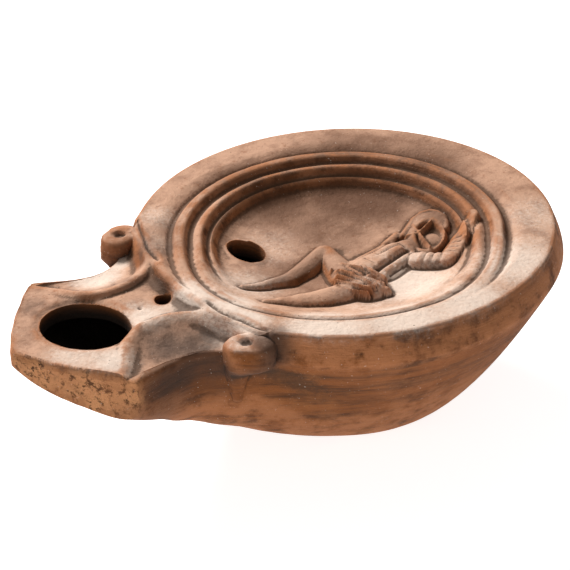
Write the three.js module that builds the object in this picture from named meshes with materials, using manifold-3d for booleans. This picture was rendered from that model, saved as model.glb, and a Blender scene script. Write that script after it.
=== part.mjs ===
// A Roman volute lamp of fired clay: a round hollow body with a sunk discus, a relief on it,
// and an angular nozzle between two volutes. Millimetres, +Z up, nozzle towards -Y.
// The origin is the centre of the underside, on the surface that the lamp stands on.

import * as THREE from "three";
import { mergeVertices } from "three/addons/utils/BufferGeometryUtils.js";
import { ConvexGeometry } from "three/addons/geometries/ConvexGeometry.js";
import { LoftGeometry } from "three/addons/geometries/LoftGeometry.js";
import Module from "manifold-3d";

const wasm = await Module();
wasm.setup();

// Body
const HEIGHT = 33.7;
const BASE_RADIUS = 17.6;
const SEAM_RADIUS = 39.3;
const SEAM_DROP = 5;
const RIM_RADIUS = 38;
const RIM_ROUNDING = 0.9;
const BELLY_POWER = 0.69;
const WALL = 3;
const SEAM_HEIGHT = HEIGHT - SEAM_DROP;

// Discus: its rings are struck a little off the body's centre.
const RINGS_X = 0.8;
const RINGS_Y = -1.8;
const FLOOR_DROP = 5.2;
const SHOULDER_INNER_RADIUS = 35;
const OUTER_GROOVE_RADIUS = 30.6;
const OUTER_GROOVE_DEPTH = 1;
const OUTER_RING_RADIUS = 28.8;
const OUTER_RING_DROP = 0.1;
const MIDDLE_GROOVE_RADIUS = 27;
const MIDDLE_GROOVE_DEPTH = 1.1;
const MIDDLE_RING_RADIUS = 25.6;
const MIDDLE_RING_DROP = 0.6;
const INNER_GROOVE_RADIUS = 24.4;
const INNER_GROOVE_DEPTH = 2;
const INNER_RING_RADIUS = 23.4;
const INNER_RING_DROP = 2.1;
const WELL_RADIUS = 22;
const WELL_DROP = 3.9;

// Nozzle: distances past the rim along -Y, half widths, and heights below the shoulder.
const NOZZLE_DROP = 2.2;
const NOZZLE_REACH = 29;
const NOZZLE_CORNER_REACH = 15.2;
const NOZZLE_CORNER_HALF_WIDTH = 19.4;
const NOZZLE_WAIST_REACH = 3.5;
const NOZZLE_WAIST_HALF_WIDTH = 16.7;
const NOZZLE_FRONT_BULGE = 1.3;
const FLANK_DROP = 4;
const FLANK_CORNER_DROP = 2.8;
const SHOULDER_SLOPE_WIDTH = 2.6;
const SIDE_END_REACH = -5.5;
const BLEND_RADIUS = 3;
const FRONT_FACE_LEAN = 0.81;
const NOZZLE_ROOT_Y = -8;
const NOZZLE_TOP_START = -5;
const SECTION_POWER = 2.38;
const SECTION_POWER_FRONT = 4.8;

// Volutes and their knobs
const VOLUTE_NECK_HALF_WIDTH = 6.5;
const VOLUTE_NECK_REACH = 5.4;
const VOLUTE_RIDGE_RADIUS = 0.9;
const VOLUTE_RIDGE_RISE = 0.8;
const KNOB_X = 21.8;
const KNOB_REACH = -3.3;
const KNOB_RADIUS = 3.2;
const KNOB_DROP = 0.9;
const KNOB_LENGTH = 4.2;
const KNOB_PIT_RADIUS = 1.3;
const KNOB_PIT_DEPTH = 0.8;
const KNOB_TAIL_LENGTH = 17;

// Holes
const FILLING_HOLE_X = -8.5;
const FILLING_HOLE_Y = -15.7;
const FILLING_HOLE_HALF_WIDTH = 4.6;
const FILLING_HOLE_HALF_LENGTH = 3.1;
const WICK_HOLE_X = 0.2;
const WICK_HOLE_REACH = 14.7;
const WICK_HOLE_HALF_WIDTH = 8.4;
const WICK_HOLE_HALF_LENGTH = 6.9;
const WICK_HOLE_TURN = 25;
const VENT_HOLE_X = 1.1;
const VENT_HOLE_REACH = 0.3;
const VENT_HOLE_RADIUS = 1.6;

// Fineness
const BELLY_SHARES = [0, 0.02, 0.06, 0.12, 0.2, 0.3, 0.4, 0.5, 0.6, 0.68, 0.74, 0.8, 0.86, 0.93];
const ROUND_STEPS = 64;
const CEILING_STEPS = 40;
const OUTLINE_STEPS = [8, 9, 28];
const HOLLOW_STEPS = [4, 5, 18];
const FRONT_STEPS = 6;
const CUT_MARGIN = 5;
const SMALLEST_DETAIL = 0.03;

/** A closed geometry as a solid that can be joined and cut. */
function solid(geometry) {
  const bare = new THREE.BufferGeometry();
  bare.setAttribute("position", geometry.attributes.position);
  bare.setIndex(geometry.index);
  const merged = mergeVertices(bare, 1e-4);
  const corners = [];
  for (let i = 0; i < merged.index.count; i += 3) {
    const [a, b, c] = [0, 1, 2].map((k) => merged.index.getX(i + k));
    if (a !== b && b !== c && c !== a) corners.push(a, b, c);
  }
  return new wasm.Manifold(new wasm.Mesh({
    numProp: 3,
    vertProperties: new Float32Array(merged.attributes.position.array),
    triVerts: new Uint32Array(corners),
  }));
}

/** A solid as a geometry for a mesh. */
function geometryOf(shape) {
  const mesh = shape.getMesh();
  const geometry = new THREE.BufferGeometry();
  geometry.setAttribute("position", new THREE.BufferAttribute(new Float32Array(mesh.vertProperties), 3));
  geometry.setIndex(new THREE.BufferAttribute(new Uint32Array(mesh.triVerts), 1));
  geometry.computeVertexNormals();
  return geometry;
}

/** A profile of [radius, height] points, bottom to top, turned about the upright axis at x, y. */
function turned(profile, steps = ROUND_STEPS, x = 0, y = 0) {
  const points = profile.map(([r, z]) => new THREE.Vector2(r, z));
  const geometry = new THREE.LatheGeometry(points, steps);
  geometry.rotateX(Math.PI / 2);
  geometry.translate(x, y, 0);
  return solid(geometry);
}

/** A smooth function through rows of [place, value]. */
function smoothThrough(rows) {
  const curve = new THREE.CubicInterpolant(rows.map((r) => r[0]), rows.map((r) => r[1]), 1, [0]);
  return (place) => curve.evaluate(place)[0];
}

/** How far y lies past the rim on the nozzle's side. */
const yAtReach = (reach) => -(RIM_RADIUS + reach);

/** The belly swells from the base to the mould seam by a power of the height. */
const bowlRadius = (z) => BASE_RADIUS + (SEAM_RADIUS - BASE_RADIUS) * (z / SEAM_HEIGHT) ** BELLY_POWER;

/** The body's outer radius at a height, with the rim rounded over. */
function bodyRadius(z) {
  if (z <= SEAM_HEIGHT) return bowlRadius(z);
  const rimBottom = HEIGHT - RIM_ROUNDING;
  if (z <= rimBottom) {
    const share = (z - SEAM_HEIGHT) / (rimBottom - SEAM_HEIGHT);
    return THREE.MathUtils.lerp(SEAM_RADIUS, RIM_RADIUS, share ** 1.6);
  }
  const over = Math.min((z - rimBottom) / RIM_ROUNDING, 1);
  return RIM_RADIUS - RIM_ROUNDING * (1 - Math.sqrt(1 - over * over));
}

/** The hollow's radius: the outer radius moved in by the wall, square to the surface. */
function hollowRadius(z) {
  if (z >= SEAM_HEIGHT) return SEAM_RADIUS - WALL;
  const slope = (bowlRadius(z) - bowlRadius(z - 0.1)) / 0.1;
  return bowlRadius(z) - WALL * Math.hypot(1, slope);
}

/** The air above the discus floor and rings. Lowered by the wall it is the ceiling inside. */
function airOverDiscus(lowered, reach) {
  const drops = [
    [0, FLOOR_DROP],
    [WELL_RADIUS - 6, FLOOR_DROP - 0.3],
    [WELL_RADIUS - 2, (FLOOR_DROP + WELL_DROP) / 2],
    [WELL_RADIUS, WELL_DROP],
    [INNER_RING_RADIUS, INNER_RING_DROP],
    [INNER_GROOVE_RADIUS, INNER_GROOVE_DEPTH],
    [MIDDLE_RING_RADIUS, MIDDLE_RING_DROP],
    [MIDDLE_GROOVE_RADIUS, MIDDLE_GROOVE_DEPTH],
    [OUTER_RING_RADIUS, OUTER_RING_DROP],
    [OUTER_GROOVE_RADIUS, OUTER_GROOVE_DEPTH],
    [SHOULDER_INNER_RADIUS, 0],
  ];
  const under = lowered > 0 ? drops.filter(([, drop], i) => i !== 5 && i !== 7 && i !== 9) : drops;
  const profile = under.map(([r, drop]) => [r, HEIGHT - drop - lowered]);
  if (reach > SHOULDER_INNER_RADIUS) profile.push([reach, HEIGHT - lowered]);
  profile.push([Math.max(reach, SHOULDER_INNER_RADIUS), HEIGHT + CUT_MARGIN]);
  profile.push([0, HEIGHT + CUT_MARGIN]);
  return turned(profile, lowered > 0 ? CEILING_STEPS : ROUND_STEPS, RINGS_X, RINGS_Y);
}

// The nozzle's half width at its top edge, before the front corners cut it.
const nozzleHalfWidth = smoothThrough([
  [-33, 30],
  [-19, 27],
  [-13, 25],
  [-8, 22.8],
  [-3.5, 20.4],
  [0, NOZZLE_WAIST_HALF_WIDTH + 1.1],
  [NOZZLE_WAIST_REACH, NOZZLE_WAIST_HALF_WIDTH],
  [NOZZLE_WAIST_REACH + 4, NOZZLE_WAIST_HALF_WIDTH + 0.4],
  [NOZZLE_CORNER_REACH, NOZZLE_CORNER_HALF_WIDTH],
  [NOZZLE_REACH, NOZZLE_CORNER_HALF_WIDTH + 1.5],
]);

// The keel of the nozzle climbs from the base to the tip: shares of the nozzle's height.
const NOZZLE_HEIGHT = HEIGHT - NOZZLE_DROP;
const keelShare = smoothThrough([
  [-33, 0.01],
  [-19, 0.01],
  [-12, 0.108],
  [-8, 0.18],
  [-2, 0.261],
  [4, 0.361],
  [8, 0.479],
  [12, 0.574],
  [16, 0.66],
  [20, 0.735],
  [24, 0.791],
  [27, 0.848],
  [NOZZLE_REACH, 0.917],
]);
const keelHeight = (reach) => NOZZLE_HEIGHT * keelShare(reach);

// The ridge of a volute: from the front corner in past the wick hole, then out along the shoulder.
const ridgeHalfDistance = smoothThrough([
  [-8, 26],
  [-6.5, 22],
  [-5.1, 16.6],
  [-3.8, 13],
  [-2, 9.3],
  [1, 7.2],
  [VOLUTE_NECK_REACH, VOLUTE_NECK_HALF_WIDTH],
  [VOLUTE_NECK_REACH + 4, VOLUTE_NECK_HALF_WIDTH + 0.8],
  [11.5, 9],
  [13.2, 12.2],
  [14.4, 15.8],
  [NOZZLE_CORNER_REACH, NOZZLE_CORNER_HALF_WIDTH],
  [NOZZLE_REACH, NOZZLE_CORNER_HALF_WIDTH],
]);

/** How far the front faces reach at a distance from the middle: nearly straight, corner to tip. */
function frontReach(halfDistance) {
  const share = halfDistance / NOZZLE_CORNER_HALF_WIDTH;
  const inward = Math.min(share, 1);
  const bulge = NOZZLE_FRONT_BULGE * 4 * inward * (1 - inward);
  return THREE.MathUtils.lerp(NOZZLE_REACH, NOZZLE_CORNER_REACH, share) + bulge;
}

/** The drop of the flank's outer edge below the shoulder: less at the front corner. */
function flankDrop(reach) {
  const toCorner = THREE.MathUtils.clamp(reach / NOZZLE_CORNER_REACH, 0, 1);
  return THREE.MathUtils.lerp(FLANK_DROP, FLANK_CORNER_DROP, toCorner ** 3);
}

/** The nozzle's section is rounded at its root and boxier towards the front corners. */
function sectionPower(reach) {
  const share = THREE.MathUtils.smoothstep(reach, 0, NOZZLE_CORNER_REACH);
  return THREE.MathUtils.lerp(SECTION_POWER, SECTION_POWER_FRONT, share);
}

/** The nozzle's rounded trough between keel and edge: 1 on its surface, less inside it. */
function nozzleSection(x, reach, z, inset) {
  const edge = HEIGHT - flankDrop(reach);
  const half = nozzleHalfWidth(reach) - inset;
  const depth = Math.max(edge - keelHeight(reach) - inset, 1);
  const power = sectionPower(reach);
  const sideways = Math.abs(x) / half;
  const downwards = Math.max(edge - z, 0) / depth;
  return { share: (sideways ** power + downwards ** power) ** (1 / power), size: Math.min(half, depth) };
}

/** How far a point is outside the nozzle, which runs on past its front faces until they are cut. */
function outsideNozzle(x, y, z, inset) {
  const reach = -y - RIM_RADIUS;
  const { share, size } = nozzleSection(x, reach, z, inset);
  const end = reach - NOZZLE_REACH - CUT_MARGIN;
  const back = y - NOZZLE_ROOT_Y;
  return Math.max((share - 1) * size, end, back);
}

/** How far a point is outside the whole body, with the bowl and nozzle run together smoothly. */
function outsideBody(x, y, z, inset) {
  const bowl = Math.hypot(x, y) - (inset > 0 ? hollowRadius(z) : bodyRadius(z));
  const spout = outsideNozzle(x, y, z, inset);
  const near = Math.max(BLEND_RADIUS - Math.abs(bowl - spout), 0) / BLEND_RADIUS;
  return Math.min(bowl, spout) - (near * near * BLEND_RADIUS) / 4;
}

/** Where a ray from inside the body first leaves it. */
function outlinePoint(centreY, target, z, inset) {
  const along = new THREE.Vector2(target.x, target.y - centreY).normalize();
  let inner = 0;
  let outer = 2 * (RIM_RADIUS + NOZZLE_REACH);
  for (let i = 0; i < 40; i += 1) {
    const middle = (inner + outer) / 2;
    const out = outsideBody(along.x * middle, centreY + along.y * middle, z, inset);
    if (out > 0) outer = middle;
    else inner = middle;
  }
  return new THREE.Vector3(along.x * inner, centreY + along.y * inner, z);
}

/** Points that the outline aims at, from the tip along one side to the back. */
function outlineTargets(frontSteps, sideSteps, roundSteps) {
  const targets = [];
  for (let i = 0; i < frontSteps; i += 1) {
    const x = (NOZZLE_CORNER_HALF_WIDTH * i) / frontSteps;
    const reach = THREE.MathUtils.lerp(NOZZLE_REACH + CUT_MARGIN, NOZZLE_CORNER_REACH, (i / frontSteps) ** 2);
    targets.push(new THREE.Vector2(x, yAtReach(reach)));
  }
  for (let i = 0; i < sideSteps; i += 1) {
    const reach = THREE.MathUtils.lerp(NOZZLE_CORNER_REACH, SIDE_END_REACH, i / sideSteps);
    targets.push(new THREE.Vector2(nozzleHalfWidth(reach), yAtReach(reach)));
  }
  const first = Math.acos(-yAtReach(SIDE_END_REACH) / RIM_RADIUS);
  for (let i = 0; i <= roundSteps; i += 1) {
    const angle = THREE.MathUtils.lerp(first, Math.PI, i / roundSteps);
    targets.push(new THREE.Vector2(RIM_RADIUS * Math.sin(angle), -RIM_RADIUS * Math.cos(angle)));
  }
  return targets;
}

/** Level outlines stacked at the given heights and skinned over. */
function stackedBody(heights, inset, steps) {
  const targets = outlineTargets(...steps);
  const sections = heights.map((z) => {
    const centreY = -THREE.MathUtils.lerp(10, 30, Math.min(z / 7, 1));
    const right = targets.map((target) => outlinePoint(centreY, target, z, inset));
    const left = right.slice(1, -1).reverse().map((p) => new THREE.Vector3(-p.x, p.y, p.z));
    return [...right, ...left];
  });
  return solid(new LoftGeometry(sections, { capStart: true, capEnd: true }));
}

/** Heights of the outlines, closer together near the underside, under the nozzle and at the rim. */
function outlineHeights() {
  const belly = BELLY_SHARES.map((share) => SEAM_HEIGHT * share);
  const rimBottom = HEIGHT - RIM_ROUNDING;
  const rim = [(SEAM_HEIGHT + rimBottom) / 2, rimBottom, HEIGHT - RIM_ROUNDING * 0.25, HEIGHT];
  return [...belly, SEAM_HEIGHT, ...rim];
}

/** Heights of the hollow's outlines, from its floor up through the ceiling. */
function hollowHeights() {
  const shares = [0, 0.065, 0.16, 0.29, 0.46, 0.62, 0.78, 1];
  return shares.map((share) => THREE.MathUtils.lerp(WALL, HEIGHT, share));
}

/** The air in front of the two front faces, moved in by a distance. */
function airInFront(inset) {
  const back = inset / FRONT_FACE_LEAN;
  const far = yAtReach(NOZZLE_REACH + 3 * CUT_MARGIN);
  const wide = NOZZLE_CORNER_HALF_WIDTH + CUT_MARGIN;
  const face = Array.from({ length: 2 * FRONT_STEPS + 1 }, (_, i) => {
    const x = NOZZLE_CORNER_HALF_WIDTH * (i / FRONT_STEPS - 1);
    return new THREE.Vector2(x, yAtReach(frontReach(Math.abs(x)) - back));
  });
  const beside = yAtReach(frontReach(wide) - back);
  const outline = [new THREE.Vector2(-wide, beside), ...face, new THREE.Vector2(wide, beside)];
  outline.push(new THREE.Vector2(wide, far), new THREE.Vector2(-wide, far));
  const depth = HEIGHT + 2 * CUT_MARGIN;
  const air = new THREE.ExtrudeGeometry(new THREE.Shape(outline), { depth, bevelEnabled: false });
  air.translate(0, 0, -CUT_MARGIN);
  return solid(air);
}

/** The air over the nozzle: flat between the volutes, falling to the edge over each flank. */
function airOverNozzle(lowered) {
  const stations = [NOZZLE_TOP_START, -3.5, -1.5, 0, 2, 4, 6.5, 9, 11.5, 13.4, 14.6, NOZZLE_CORNER_REACH];
  stations.push(NOZZLE_CORNER_REACH + 0.6, NOZZLE_REACH + CUT_MARGIN);
  const sections = stations.map((reach) => {
    const ridge = ridgeHalfDistance(reach);
    const half = Math.max(nozzleHalfWidth(reach), ridge + 0.3);
    const top = HEIGHT - NOZZLE_DROP - lowered;
    const edge = reach > NOZZLE_CORNER_REACH ? top - 0.2 : HEIGHT - flankDrop(reach) - lowered;
    const outer = reach <= 0 ? Math.max(KNOB_X + 1, half + 0.2) : half + 3 * CUT_MARGIN;
    const right = [
      [ridge, top],
      [(ridge + half) / 2, THREE.MathUtils.lerp(top, edge, 0.6)],
      [half, edge],
      [outer, edge - 0.3],
      [outer, HEIGHT + CUT_MARGIN],
    ];
    const left = right.map(([x, z]) => [-x, z]).reverse();
    return [...left, ...right].map(([x, z]) => new THREE.Vector3(x, yAtReach(reach), z));
  });
  return solid(new LoftGeometry(sections, { capStart: true, capEnd: true })).subtract(shoulderCone(lowered));
}

/** The shoulder as it falls to the nozzle's top. */
function shoulderCone(lowered) {
  const low = HEIGHT - 3 * CUT_MARGIN;
  const foot = HEIGHT - NOZZLE_DROP - lowered - 0.4;
  const top = HEIGHT + 2 * CUT_MARGIN;
  const upper = RIM_RADIUS - SHOULDER_SLOPE_WIDTH;
  const lip = HEIGHT - lowered;
  const profile = [[0, low], [RIM_RADIUS, low], [RIM_RADIUS, foot], [upper, lip], [upper - 1, top], [0, top]];
  return turned(profile);
}

/** A rounded bar swept through points, for the raised edge of a volute. */
function sweptBar(points, radius, steps) {
  const path = new THREE.CatmullRomCurve3(points);
  const section = new THREE.Shape();
  section.absarc(0, 0, radius, 0, 2 * Math.PI, false);
  const options = { steps, curveSegments: 8, bevelEnabled: false, extrudePath: path };
  return solid(new THREE.ExtrudeGeometry(section, options));
}

/** One volute's raised edge, from the front corner to the knob. */
function voluteRidge(side) {
  const z = HEIGHT - NOZZLE_DROP + VOLUTE_RIDGE_RISE - VOLUTE_RIDGE_RADIUS;
  const reaches = [14.9, 13.2, 11.5, 9, VOLUTE_NECK_REACH, 2, -1, -3.8, -5.1, -6.2];
  const points = reaches.map((reach) => {
    return new THREE.Vector3(side * ridgeHalfDistance(reach), yAtReach(reach), z);
  });
  return sweptBar(points, VOLUTE_RIDGE_RADIUS, 26);
}

/** An ellipsoid's points, to be wrapped into limbs. */
function blobPoints({ x, y, z, rx, ry = rx, rz = rx }) {
  const sphere = new THREE.SphereGeometry(1, 8, 5);
  sphere.rotateX(Math.PI / 2);
  sphere.scale(rx, ry, rz);
  sphere.translate(x, y, z);
  const place = sphere.attributes.position;
  return Array.from({ length: place.count }, (_, i) => new THREE.Vector3().fromBufferAttribute(place, i));
}

/** A limb: the skin stretched over two ellipsoids. */
const wrapped = (...blobs) => solid(new ConvexGeometry(blobs.flatMap((blob) => blobPoints(blob))));

/** A knob that ends a volute, with a pit in its flat top and a tail that runs out down the belly. */
function knob(side) {
  const y = yAtReach(KNOB_REACH);
  const top = HEIGHT - KNOB_DROP;
  const boss = new THREE.CylinderGeometry(KNOB_RADIUS * 0.88, KNOB_RADIUS, KNOB_LENGTH, 20);
  boss.rotateX(Math.PI / 2);
  boss.translate(side * KNOB_X, y, top - KNOB_LENGTH / 2);
  const pit = new THREE.CylinderGeometry(KNOB_PIT_RADIUS, KNOB_PIT_RADIUS * 0.6, 2 * KNOB_PIT_DEPTH, 12);
  pit.rotateX(Math.PI / 2);
  pit.translate(side * KNOB_X, y, top);
  const foot = outlinePoint(0, new THREE.Vector2(side * KNOB_X, y), top - KNOB_TAIL_LENGTH, 0);
  const tail = wrapped(
    { x: side * KNOB_X, y, z: top - KNOB_LENGTH, rx: KNOB_RADIUS * 0.97, rz: KNOB_RADIUS * 0.7 },
    { x: foot.x, y: foot.y, z: foot.z, rx: 1.2, rz: 1.6 },
  );
  return solid(boss).add(tail).subtract(solid(pit));
}

/** An upright oval hole cut through from a height upwards, turned by some degrees. */
function uprightHole(x, y, radiusX, radiusY, bottom, steps, turn = 0) {
  const length = HEIGHT + CUT_MARGIN - bottom;
  const hole = new THREE.CylinderGeometry(1, 1, length, steps);
  hole.rotateX(Math.PI / 2);
  hole.scale(radiusX, radiusY, 1);
  hole.rotateZ(THREE.MathUtils.degToRad(turn));
  hole.translate(x, y, bottom + length / 2);
  return solid(hole);
}

// The relief: a fallen fighter, head away from the nozzle. Places on the discus as [x, y] from the
// body's centre, heights above the discus floor.
const FIGURE_FLOOR = HEIGHT - FLOOR_DROP;
const JOINTS = {
  bentToe: [3, -23.2],
  bentAnkle: [3.4, -18.2],
  bentCalf: [4.2, -14],
  bentShin: [2.8, -9.6],
  bentKnee: [-0.4, -4],
  thigh: [5.6, -6.6],
  longToe: [9, -22.4],
  longAnkle: [9.6, -18.8],
  longCalf: [11.2, -15],
  longKnee: [12.4, -11],
  hip: [13, -5.6],
  waist: [10.6, -1.4],
  chest: [9.6, 3.8],
  neck: [8.2, 8.4],
  shoulder: [12.2, 6.6],
  elbow: [16.6, 10.8],
  wrist: [12.8, 17.2],
  hand: [10.4, 20.6],
  farShoulder: [5.6, 4.6],
  farElbow: [2.4, 10.4],
  head: [5.4, 14],
  crestBack: [-2.8, 17.4],
  crestTop: [-0.6, 22],
};

/** An ellipsoid at a joint of the figure, half sunk in the discus floor. */
const at = (joint, radius, height, lift = 0) => ({
  x: JOINTS[joint][0],
  y: JOINTS[joint][1],
  z: FIGURE_FLOOR + lift,
  rx: radius,
  rz: height,
});

/** The fallen fighter: legs, folded loincloth, trunk, padded sleeve and helmeted head. */
function figure() {
  const limbs = [
    wrapped(at("bentToe", 0.8, 0.9), at("bentAnkle", 1.5, 1.5)),
    wrapped(at("bentAnkle", 1.4, 1.5), at("bentCalf", 2, 1.9)),
    wrapped(at("bentCalf", 2, 1.9), at("bentShin", 2.3, 2)),
    wrapped(at("bentShin", 2.3, 2), at("bentKnee", 2.3, 2.2)),
    wrapped(at("bentKnee", 2.2, 2.2), at("thigh", 2.8, 2.3)),
    wrapped(at("thigh", 2.8, 2.3), at("hip", 3, 2.6)),
    wrapped(at("longToe", 0.9, 0.9), at("longAnkle", 1.8, 1.5)),
    wrapped(at("longAnkle", 1.8, 1.5), at("longCalf", 2.9, 2)),
    wrapped(at("longCalf", 2.9, 2), at("longKnee", 3.4, 2.4)),
    wrapped(at("longKnee", 3.4, 2.4), at("hip", 3.4, 2.7)),
    wrapped(at("hip", 3.4, 2.7), at("waist", 4.6, 2.6)),
    wrapped(at("waist", 4.6, 2.6), at("chest", 4.8, 2.8)),
    wrapped(at("chest", 4.6, 2.8), at("neck", 2.8, 2.4)),
    wrapped(at("shoulder", 2.4, 2.6), at("elbow", 2.2, 2.4)),
    wrapped(at("elbow", 2.2, 2.4), at("wrist", 2, 2.2)),
    wrapped(at("wrist", 1.9, 2), at("hand", 1.6, 1.7)),
    wrapped(at("farShoulder", 2, 2), at("farElbow", 1.3, 1.5)),
    wrapped(at("head", 4.2, 3), at("neck", 2.2, 2)),
    wrapped(at("farElbow", 1, 1.2), at("crestBack", 1.3, 1.5)),
    wrapped(at("crestBack", 1.3, 1.5), at("crestTop", 1.4, 1.5)),
    wrapped(at("crestTop", 1.4, 1.5), at("head", 3, 2.2)),
  ];
  return limbs.reduce((whole, limb) => whole.add(limb)).add(loinclothFolds()).add(visorBars());
}

/** Folds of the loincloth: thin ridges that fan out over the thighs from a knot at the near hip. */
function loinclothFolds() {
  const [hipX, hipY] = JOINTS.hip;
  const knot = { x: hipX + 3.6, y: hipY + 1.8, z: FIGURE_FLOOR + 1.6, rx: 1, rz: 1.5 };
  const folds = [[7.4, 170], [9.4, 190], [8.8, 208], [6.6, 226]].map(([reach, degrees]) => {
    const angle = THREE.MathUtils.degToRad(degrees);
    const hemX = knot.x + reach * Math.cos(angle);
    const hemY = knot.y + reach * Math.sin(angle);
    return wrapped(knot, { x: hemX, y: hemY, z: FIGURE_FLOOR + 1.5, rx: 0.8, rz: 1.5 });
  });
  return folds.reduce((whole, fold) => whole.add(fold));
}

/** Crossed bars over the helmet's face opening. */
function visorBars() {
  const [x, y] = JOINTS.head;
  const bar = (dx, dy) => wrapped(
    { x: x - dx, y: y - dy, z: FIGURE_FLOOR + 2.2, rx: 0.6, rz: 0.9 },
    { x: x + dx, y: y + dy, z: FIGURE_FLOOR + 2.2, rx: 0.6, rz: 0.9 },
  );
  return bar(2.6, 1.6).add(bar(-0.6, 2.9));
}

/** The whole lamp: one hollow piece of clay with three holes. */
function lampBody() {
  const outside = stackedBody(outlineHeights(), 0, OUTLINE_STEPS)
    .subtract(airInFront(0))
    .subtract(airOverNozzle(0))
    .add(voluteRidge(1))
    .add(voluteRidge(-1))
    .add(knob(1))
    .add(knob(-1))
    .subtract(airOverDiscus(0, 0))
    .add(figure());
  const ceiling = airOverDiscus(WALL, RIM_RADIUS);
  const hollow = stackedBody(hollowHeights(), WALL, HOLLOW_STEPS)
    .subtract(airInFront(WALL))
    .subtract(airOverNozzle(WALL))
    .subtract(ceiling);
  const inside = HEIGHT - FLOOR_DROP - 2 * WALL;
  const wickFloor = keelHeight(WICK_HOLE_REACH + WICK_HOLE_HALF_LENGTH) + WALL;
  const wickHole = uprightHole(WICK_HOLE_X, yAtReach(WICK_HOLE_REACH), WICK_HOLE_HALF_WIDTH,
    WICK_HOLE_HALF_LENGTH, wickFloor, 40, WICK_HOLE_TURN);
  const fillingHole = uprightHole(FILLING_HOLE_X, FILLING_HOLE_Y, FILLING_HOLE_HALF_WIDTH,
    FILLING_HOLE_HALF_LENGTH, inside, 28);
  const ventHole = uprightHole(VENT_HOLE_X, yAtReach(VENT_HOLE_REACH), VENT_HOLE_RADIUS,
    VENT_HOLE_RADIUS, inside, 14);
  const lamp = outside.subtract(hollow).subtract(wickHole).subtract(fillingHole).subtract(ventHole);
  return lamp.simplify(SMALLEST_DETAIL);
}

const group = new THREE.Group();
const clay = new THREE.MeshStandardMaterial({ color: 0xb9805c, roughness: 0.85, metalness: 0 });
const lamp = new THREE.Mesh(geometryOf(lampBody()), clay);
lamp.name = "lamp_body";
group.add(lamp);

export default group;
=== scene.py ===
# %% [markdown]
# A Roman volute lamp in fired clay.
# The real lamp was pressed in an upper and a lower mould, joined while the clay was soft, fired,
# burnt oil for a while and then lay in the ground. So one closed skin has to carry everything:
# the turned rings, the relief, the volutes, the worn edges, and the soot and lime on top of them.
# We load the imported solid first, because it fixes where everything is.

# %% Load the fixed frame
import bpy
import numpy as np
from mathutils import Matrix, Vector


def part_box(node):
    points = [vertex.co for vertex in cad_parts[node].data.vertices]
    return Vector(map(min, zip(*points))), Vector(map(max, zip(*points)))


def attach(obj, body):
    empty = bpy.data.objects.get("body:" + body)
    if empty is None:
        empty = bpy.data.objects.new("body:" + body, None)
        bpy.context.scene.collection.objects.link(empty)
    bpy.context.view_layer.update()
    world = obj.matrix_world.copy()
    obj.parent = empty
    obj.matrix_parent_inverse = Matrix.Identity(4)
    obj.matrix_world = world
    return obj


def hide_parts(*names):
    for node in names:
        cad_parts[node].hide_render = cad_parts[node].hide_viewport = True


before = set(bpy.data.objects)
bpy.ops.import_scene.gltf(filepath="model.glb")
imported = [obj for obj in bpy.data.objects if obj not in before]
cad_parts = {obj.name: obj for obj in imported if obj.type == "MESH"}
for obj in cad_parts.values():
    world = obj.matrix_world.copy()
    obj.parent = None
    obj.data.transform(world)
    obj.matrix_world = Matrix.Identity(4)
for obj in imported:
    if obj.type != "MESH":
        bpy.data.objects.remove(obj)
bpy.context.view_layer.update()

MM = 0.001
scene = bpy.context.scene
solid_low, solid_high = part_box("lamp_body")
HEIGHT = round(solid_high[2] / MM, 3)
print("solid box, mm:", [round(v / MM, 1) for v in (*solid_low, *solid_high)])

# %% [markdown]
# Sizes. A potter would know these by hand: the rim, the seam where the two mould halves met, the
# base, the depth of the discus, and how far the nozzle reaches. They are in millimetres and say
# the same as the solid does. Everything else is worked out from them.

# %% Sizes of the body, discus and nozzle
BASE_RADIUS = 17.6
SEAM_RADIUS = 39.3
SEAM_DROP = 5.0
SEAM_HEIGHT = HEIGHT - SEAM_DROP
RIM_RADIUS = 38.0
BELLY_POWER = 0.69
WALL = 3.0
EDGE_ROUNDING = 0.9
FOOT_HOLLOW = 0.5

RINGS_CENTRE = np.array([0.8, -1.8])
DISCUS_RADIUS = 34.6
FLOOR_DROP = 5.2

NOZZLE_DROP = 2.2
NOZZLE_REACH = 29.0
CORNER_REACH = 15.2
CORNER_HALF_WIDTH = 19.4
FRONT_BULGE = 1.3
FRONT_LEAN = 0.81
SECTION_POWER = 2.38
SECTION_POWER_FRONT = 4.8
FRONT_SPARE = 2.5
BLEND_RADIUS = 3.0
NOZZLE_ROOT_Y = -8.0
FLANK_DROP = 4.0
CORNER_DROP = 2.8
RIDGE_RISE = 0.9

KNOB_X = 21.8
KNOB_Y = -34.7
KNOB_DROP = 0.9
KNOB_LENGTH = 4.2
KNOB_TAIL = 13.5
KNOB_FROM_HEART = (0.975, -0.222)
EAR_TURN = 62.0
EAR_SIZE = 0.7

# Holes: centre x and y, half axes, and the turn of the first axis in degrees
FILLING_HOLE = (-8.5, -15.7, 4.6, 3.1, 0)
WICK_HOLE = (0.2, -52.7, 8.4, 6.9, 25)
VENT_HOLE = (0.6, -37.9, 1.5, 2.0, 58)
WICK_HOLE_BOTTOM = 26.8
print("lamp is", HEIGHT, "mm high,", RIM_RADIUS + NOZZLE_REACH + SEAM_RADIUS, "mm long")

# %% [markdown]
# Helpers for shapes. A curve through a few named places gives the outlines that a hand drew, and
# a seeded lattice of random numbers, smoothed between its points, gives lumps and stains that are
# the same in every run.

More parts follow.
